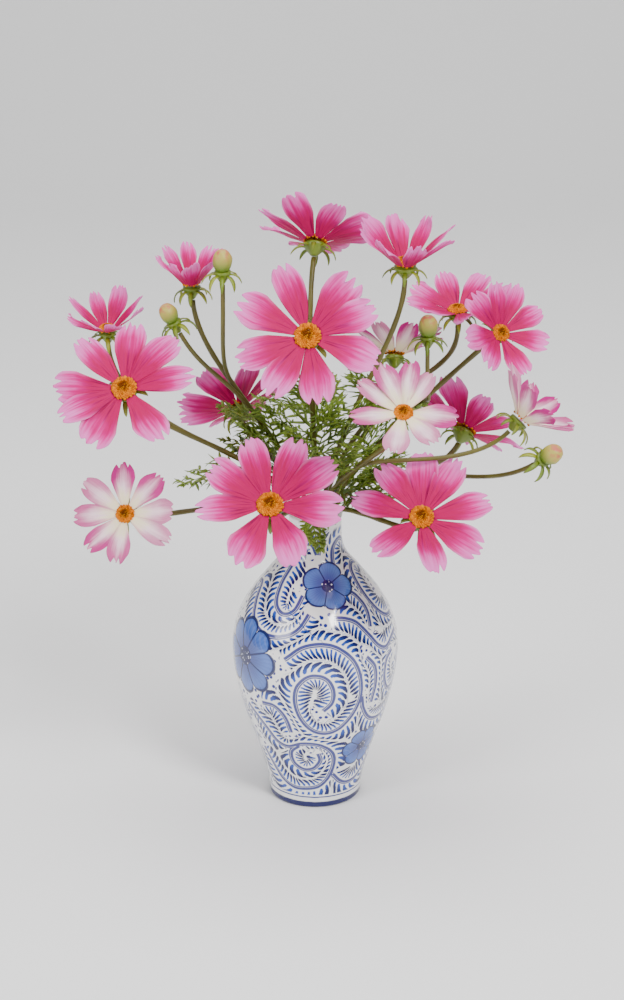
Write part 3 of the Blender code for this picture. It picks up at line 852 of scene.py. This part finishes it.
def add_head(bunch, kind, name, chance):
    """The calyx cup and its bracts."""
    place, axis, wide, top = head_of(kind, name)
    frame_of = head_turn(axis)
    depth = np.array([CALYX_DEPTH - 1.0, 6.4, 4.8, 3.4, 2.2, 1.1, 0.3])
    shape = np.array([0.22, 0.32, 0.52, 0.72, 0.84, 0.90, 0.86]) * wide
    shape = np.maximum(shape, BRANCH_RADIUS)
    cup = place - (depth + top)[:, None] * axis
    bunch.add(tube(cup, shape, sides=24, ribs=0.03), 0.6)
    for k in range(8):
        a = 2 * math.pi * (k + chance.uniform(-0.12, 0.12)) / 8
        outward = frame_of @ [math.cos(a), math.sin(a), 0]
        length = chance.uniform(8.5, 11.0)
        bend = np.linspace(0, 1, 9)
        rise = np.radians(28 - 115 * bend**0.8 * chance.uniform(0.8, 1.1))
        step = length / 8
        out = 0.68 * wide + np.r_[0, np.cumsum(np.cos(rise[1:]) * step)]
        lift = -(top + 2.6) + np.r_[0, np.cumsum(np.sin(rise[1:]) * step)]
        path = place + out[:, None] * outward + lift[:, None] * axis
        widths = 1.25 * np.sin(np.pi * (0.22 + 0.76 * bend)) ** 0.8 + 0.06
        normal = axis * np.cos(rise)[:, None] - outward * np.sin(rise)[:, None]
        bunch.add(blade(path, widths, normal, 0.7), chance.uniform(0.65, 1.0))


def stem_ends(kind, name, start, up, lead, follow):
    place, axis, _, top = head_of(kind, name)
    foot = place - axis * (top + CALYX_DEPTH)
    return start, start + up * lead, foot - axis * follow, foot


def make_stem(number, name, material):
    kind, slot, lead, follow, branches = STEMS[name]
    chance = np.random.default_rng(300 + number)
    bunch = Bunch()
    mouth = np.array([*slot, MOUTH_HEIGHT])
    away = head_of(kind, name)[0] - mouth
    up = away / np.linalg.norm(away) + [0, 0, 0.75]
    ends = stem_ends(kind, name, mouth, up / np.linalg.norm(up), lead, follow)
    floor = np.array([slot[0] * 1.6, slot[1] * 1.6 - 3.0, VASE_FLOOR + 0.4])
    path = np.vstack([floor, [*slot, 120.0], [*slot, 146.0], bezier(ends, np.linspace(0, 1, 46))])
    radii = STEM_RADIUS * (1 + 0.05 * np.sin(np.arange(len(path)) * 0.9 + number))
    bunch.add(tube(path, radii), 0.0)
    add_head(bunch, kind, name, chance)
    for share, kind, other, lead, follow in branches:
        start = bezier(ends, share)
        way = bezier_slope(ends, share)
        branch = stem_ends(kind, other, start - way * 2, way, lead, follow)
        path = bezier(branch, np.linspace(0, 1, 40))
        bunch.add(tube(path, np.full(40, BRANCH_RADIUS)), 0.0)
        add_head(bunch, kind, other, chance)
    bunch.piece(f"stalk_{name}", material, (f"stem_{name}",))
    return ends


olive = stem_material()
ROUTES = {name: make_stem(number, name, olive) for number, name in enumerate(STEMS)}


# Buds.
# Closed buds: petals folded tight into a round knob, cream flushed with pink, in a green cup.
def bud_material():
    made, shader, start = new_material("bud", 0.5)
    tall = attribute(start, "tall", "Fac")
    place = place_coordinate(start)
    streak = place.noise(420.0, 3.0)
    colour = tall.step(0.25, 0.72).blend((0.10, 0.18, 0.006), (0.42, 0.36, 0.06))
    colour = (tall.step(0.45, 0.95) * streak.step(0.40, 0.62)).blend(colour, (0.50, 0.07, 0.06))
    colour = (tall.step(0.80, 1.0) * 0.5).blend(colour, (0.58, 0.26, 0.13))
    colour_with(shader, colour)
    return made


def make_bud(name, material):
    foot, axis, radius, long = BUD_PLACES[name]
    rows, columns = 28, 48
    up = np.linspace(0.02, 0.985, rows)[:, None] * math.pi
    turn = np.linspace(0, 2 * math.pi, columns, endpoint=False)[None]
    fold = 1 - 0.075 * np.abs(np.sin(2.5 * turn + 1.6 * up)) ** 0.6 * np.sin(up) ** 0.7
    off = radius * np.sin(up) ** 0.86 * fold
    tall = radius - long * np.cos(up) + 0 * turn
    local = np.stack([off * np.cos(turn), off * np.sin(turn), tall], -1).reshape(-1, 3)
    points = local @ head_turn(axis).T + foot
    faces = grid_faces(rows, columns, closed=True).tolist()
    faces += [list(range(columns))[::-1], list(range((rows - 1) * columns, rows * columns))]
    values = {"tall": np.repeat(up[:, 0], columns) / math.pi}
    add_piece(f"bud_knob_{name}", points, faces, material, (f"bud_{name}",), values)


cream = bud_material()
for name in BUD_PLACES:
    make_bud(name, cream)


# Leaves.
# Feathery leaves, twice cut into narrow pointed lobes, in loose sprays along the stems.
# Per spray: its stem, the share along it, turn and tilt, length, and the solid that it refines, if any.
LEAVES = (
    ("left_high", 0.20, (-60, 48), 40, "centre_left"),
    ("left", 0.30, (-80, -6), 38, "far_left"),
    ("left_back", 0.34, (-120, 20), 34, "left_back"),
    ("top", 0.22, (170, 50), 40, "centre_back"),
    ("top_right", 0.20, (70, 66), 42, "centre"),
    ("right_high", 0.26, (60, 70), 38, "right_inner"),
    ("right_back", 0.26, (120, 8), 36, "right"),
    ("middle_pale", 0.18, (60, 14), 36, "right_front"),
    ("front_low", 0.10, (30, -50), 22, "hanging"),
    ("front_high", 0.16, (-30, 60), 34, None),
    ("top", 0.30, (-20, 66), 34, None),
    ("left_back", 0.20, (-70, 40), 34, None),
    ("left_high", 0.34, (-110, 30), 30, None),
    ("middle_pale", 0.26, (20, 60), 32, None),
    ("right_high", 0.16, (80, 30), 36, None),
    ("back_right", 0.20, (40, 60), 36, None),
    ("top_right", 0.30, (40, 50), 30, None),
    ("left", 0.18, (-60, 30), 34, None),
    ("right_low", 0.20, (60, 40), 26, None),
    ("front_high", 0.30, (50, 62), 30, None),
    ("left_low_pale", 0.22, (-40, 30), 28, None),
    ("right_back", 0.14, (70, 44), 32, None),
    ("front_high", 0.42, (-60, 30), 34, None),
    ("front_high", 0.24, (-80, 50), 36, None),
    ("left_back", 0.30, (-40, 60), 34, None),
    ("left", 0.12, (-90, 56), 38, None),
    ("left_high", 0.26, (-30, 66), 34, None),
    ("top", 0.14, (30, 62), 40, None),
    ("top_right", 0.14, (60, 36), 40, None),
    ("right_high", 0.34, (90, 50), 32, None),
    ("middle_pale", 0.34, (-30, 40), 28, None),
    ("right_back", 0.30, (40, 50), 32, None),
    ("back_right", 0.30, (-40, 60), 34, None),
    ("right_low", 0.10, (60, 56), 34, None),
)


def leaf_material():
    made, shader, start = new_material("leaf", 0.5)
    tone = attribute(start, "tone", "Fac")
    mottle = place_coordinate(start).noise(140.0, 3.0)
    colour = mottle.blend((0.055, 0.115, 0.004), (0.18, 0.28, 0.012))
    colour = (tone * 0.5).blend(colour, (0.32, 0.44, 0.05))
    colour_with(shader, colour)
    return made


def make_leaf(number, spec, material):
    stem, share, (turn, tilt), length, node = spec
    chance = np.random.default_rng(500 + number)
    ends = ROUTES[stem]
    a, b = math.radians(turn), math.radians(tilt)
    out = np.array([math.sin(a) * math.cos(b), -math.cos(a) * math.cos(b), math.sin(b)])
    way = bezier_slope(ends, share)
    away = out - way * (out @ way)
    away /= np.linalg.norm(away)
    start = bezier(ends, share) + away * 0.9
    across = np.cross(out, [0, 0, 1.0])
    across /= np.linalg.norm(across)
    face = np.cross(across, out)
    bunch = Bunch()

    def lobe(root, direction, size, wide):
        bend = np.linspace(0, 1, 7)[:, None]
        drift = chance.uniform(-0.25, 0.25) * across + chance.uniform(-0.35, 0.12) * face
        path = root + size * (bend * direction + 1.5 * bend**2 * drift)
        widths = 1.5 * wide * np.sin(np.pi * (0.20 + 0.79 * bend[:, 0])) ** 0.8 + 0.04
        bunch.add(blade(path, widths, face, 0.4), chance.uniform(0, 1))

    bend = np.linspace(0, 1, 16)[:, None]
    rib = start + length * (bend * out - 0.12 * bend**2 * face + 0.05 * np.sin(2.5 * bend) * across)
    bunch.add(blade(rib, np.linspace(0.62, 0.25, 16), face, 0.6), 0.3)
    for i in range(2, 16, 2):
        for sign in (-1, 1):
            size = length * (0.56 - 0.028 * i) * chance.uniform(0.8, 1.2)
            direction = out * chance.uniform(0.55, 0.8) + sign * across * 0.8
            direction = direction + face * chance.uniform(-0.25, 0.3)
            direction /= np.linalg.norm(direction)
            lobe(rib[i], direction, size, 0.62)
            for place in (0.35, 0.65):
                for turned in (-1, 1):
                    root = rib[i] + direction * size * place
                    twig = direction * 0.75 + turned * (out * 0.7 - sign * across * 0.35) * 0.8
                    lobe(root, twig / np.linalg.norm(twig), size * 0.48 * chance.uniform(0.8, 1.2), 0.50)
    lobe(rib[-2], out, length * 0.12, 0.5)
    bunch.piece(f"spray_{number:02d}_{stem}", material, (f"leaf_{node}",) if node else ())


fern = leaf_material()
for number, spec in enumerate(LEAVES):
    make_leaf(number, spec, fern)


# Studio.
# A plain pale sheet lies under the vase and rises behind it. A key light stands on the right, a weaker one
# on the left, and a wide soft one hangs above.
def add_stage():
    backdrop = bpy.data.materials.new("backdrop")
    backdrop.use_nodes = True
    shader = backdrop.node_tree.nodes["Principled BSDF"]
    shader.inputs["Base Color"].default_value = (0.93, 0.93, 0.93, 1)
    shader.inputs["Roughness"].default_value = 0.9
    rise = np.linspace(0, math.pi / 2, 14)
    profile = [(-3.0, 0.0), *[(1.4 + 0.8 * math.sin(a), 0.8 - 0.8 * math.cos(a)) for a in rise], (2.2, 4.0)]
    points = [(x, y, z) for y, z in profile for x in (-4.0, 4.0)]
    faces = [(2 * i, 2 * i + 1, 2 * i + 3, 2 * i + 2) for i in range(len(profile) - 1)]
    mesh = bpy.data.meshes.new("floor")
    mesh.from_pydata(points, [], faces)
    mesh.shade_smooth()
    mesh.materials.append(backdrop)
    floor = bpy.data.objects.new("floor", mesh)
    bpy.context.scene.collection.objects.link(floor)
    middle = Vector((0, 0, 0.18))
    for name, place, size, power in (
        ("key", (0.9, -1.3, 1.5), 0.5, 38.0),
        ("fill", (-1.3, -1.1, 0.9), 0.7, 18.0),
        ("top", (0.0, 0.1, 1.9), 1.2, 26.0),
    ):
        light = bpy.data.lights.new(name, "AREA")
        light.size = size
        light.energy = power
        lamp = bpy.data.objects.new(name, light)
        lamp.location = place
        lamp.rotation_euler = (middle - Vector(place)).to_track_quat("-Z", "Y").to_euler()
        bpy.context.scene.collection.objects.link(lamp)
    world = bpy.data.worlds.new("studio")
    world.use_nodes = True
    world.node_tree.nodes["Background"].inputs[0].default_value = (1.0, 1.0, 1.0, 1)
    world.node_tree.nodes["Background"].inputs[1].default_value = 0.35
    bpy.context.scene.world = world


def add_camera():
    """Seen from the front and 20 degrees above."""
    distance = 1.3
    camera = bpy.data.objects.new("camera", bpy.data.cameras.new("camera"))
    camera.data.lens = 87.5
    camera.data.dof.use_dof = False
    tilt = math.radians(20)
    target = Vector((-0.0018, 0, 0.1707))
    camera.location = target + distance * Vector((0, -math.cos(tilt), math.sin(tilt)))
    camera.rotation_euler = (math.pi / 2 - tilt, 0, 0)
    bpy.context.scene.collection.objects.link(camera)
    bpy.context.scene.camera = camera


add_stage()
add_camera()
